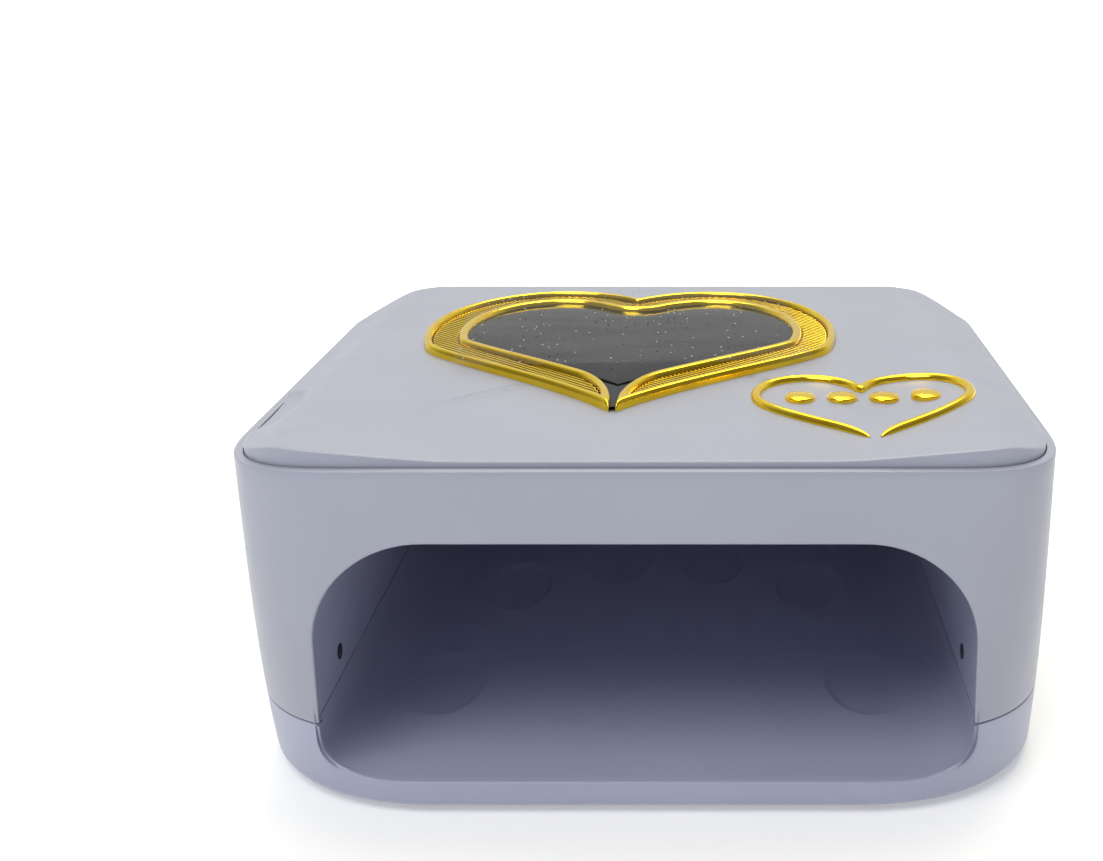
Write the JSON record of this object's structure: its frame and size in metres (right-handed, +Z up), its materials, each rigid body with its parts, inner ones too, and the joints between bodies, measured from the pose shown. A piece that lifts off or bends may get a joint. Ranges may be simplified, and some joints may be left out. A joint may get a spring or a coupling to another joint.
{
  "type": "uv led nail lamp",
  "caption": "Cordless table-top UV LED nail lamp: rounded box with a front hand tunnel on a lift-off tray, and a heart display and heart-framed push buttons on its dished lid.",
  "frame": {"origin": "middle of the lamp's plan, on the surface its feet stand on", "axes": "+X to the right of someone facing the hand opening, +Y from the opening to the back, +Z up"},
  "size_m": [0.2404, 0.2092, 0.1149],
  "materials": {
    "shell_plastic": "satin pale lavender-white ABS",
    "tray_plate_plastic": "moulded plastic plate, dull",
    "tunnel_plastic": "satin pale plastic",
    "gold_plating": "bright gold-coloured plating on plastic",
    "smoked_window": "dark smoked glossy plastic",
    "clear_film": "thin clear protective film",
    "circuit_board": "green fibreglass board",
    "led_lens": "clear lens domes on a white board",
    "sensor_black": "dark infrared window",
    "black_plastic": "black moulded plastic",
    "cell_wrap": "blue heat-shrink sleeve",
    "lead_pvc": "black soft insulation",
    "steel": "plain plated steel",
    "foot_rubber": "dull grey rubber"
  },
  "bodies": {
    "tray": {"base_tray": "shell_plastic", "tray_bottom_plate": "tray_plate_plastic", "tray_magnet_front_left": "steel", "tray_magnet_front_right": "steel", "tray_magnet_rear_left": "steel", "tray_magnet_rear_right": "steel", "rubber_foot_front_left": "foot_rubber", "rubber_foot_front_right": "foot_rubber", "rubber_foot_rear_left": "foot_rubber", "rubber_foot_rear_right": "foot_rubber"},
    "lamp": {"main_housing": "shell_plastic", "top_cover": "shell_plastic", "tunnel_liner": "tunnel_plastic", "heart_bezel": "gold_plating", "button_frame_heart": "gold_plating", "heart_display_window": "smoked_window", "display_protective_film": "clear_film", "button_board": "circuit_board", "display_board": "circuit_board", "control_board": "circuit_board", "led_board_ceiling": "led_lens", "led_board_left": "led_lens", "led_board_right": "led_lens", "led_board_rear": "led_lens", "ir_sensor_left": "sensor_black", "ir_sensor_right": "sensor_black", "battery_holder": "black_plastic", "charging_jack": "black_plastic", "battery_cell_front_left": "cell_wrap", "battery_cell_front_right": "cell_wrap", "battery_cell_rear_left": "cell_wrap", "battery_cell_rear_right": "cell_wrap", "battery_lead": "lead_pvc", "charging_lead": "lead_pvc", "housing_screw_front_left": "steel", "housing_screw_front_right": "steel", "housing_screw_rear_left": "steel", "housing_screw_rear_right": "steel", "lamp_magnet_front_left": "steel", "lamp_magnet_front_right": "steel", "lamp_magnet_rear_left": "steel", "lamp_magnet_rear_right": "steel"},
    "button_30s_cap": {"button_30s": "gold_plating"},
    "button_60s_cap": {"button_60s": "gold_plating"},
    "button_90s_cap": {"button_90s": "gold_plating"},
    "button_120s_cap": {"button_120s": "gold_plating"}
  },
  "joints": [
    {"name": "lamp_lift", "type": "slide", "parent": "tray", "child": "lamp", "axis": [0, 0, 1], "range_m": [0, 0.12]},
    {"name": "press_30s", "type": "slide", "parent": "lamp", "child": "button_30s_cap", "axis": [0, 0, -1], "range_m": [0, 0.0008], "stiffness_N_per_m": 900},
    {"name": "press_60s", "type": "slide", "parent": "lamp", "child": "button_60s_cap", "axis": [0, 0, -1], "range_m": [0, 0.0008], "stiffness_N_per_m": 900},
    {"name": "press_90s", "type": "slide", "parent": "lamp", "child": "button_90s_cap", "axis": [0, 0, -1], "range_m": [0, 0.0008], "stiffness_N_per_m": 900},
    {"name": "press_120s", "type": "slide", "parent": "lamp", "child": "button_120s_cap", "axis": [0, 0, -1], "range_m": [0, 0.0008], "stiffness_N_per_m": 900}
  ]
}
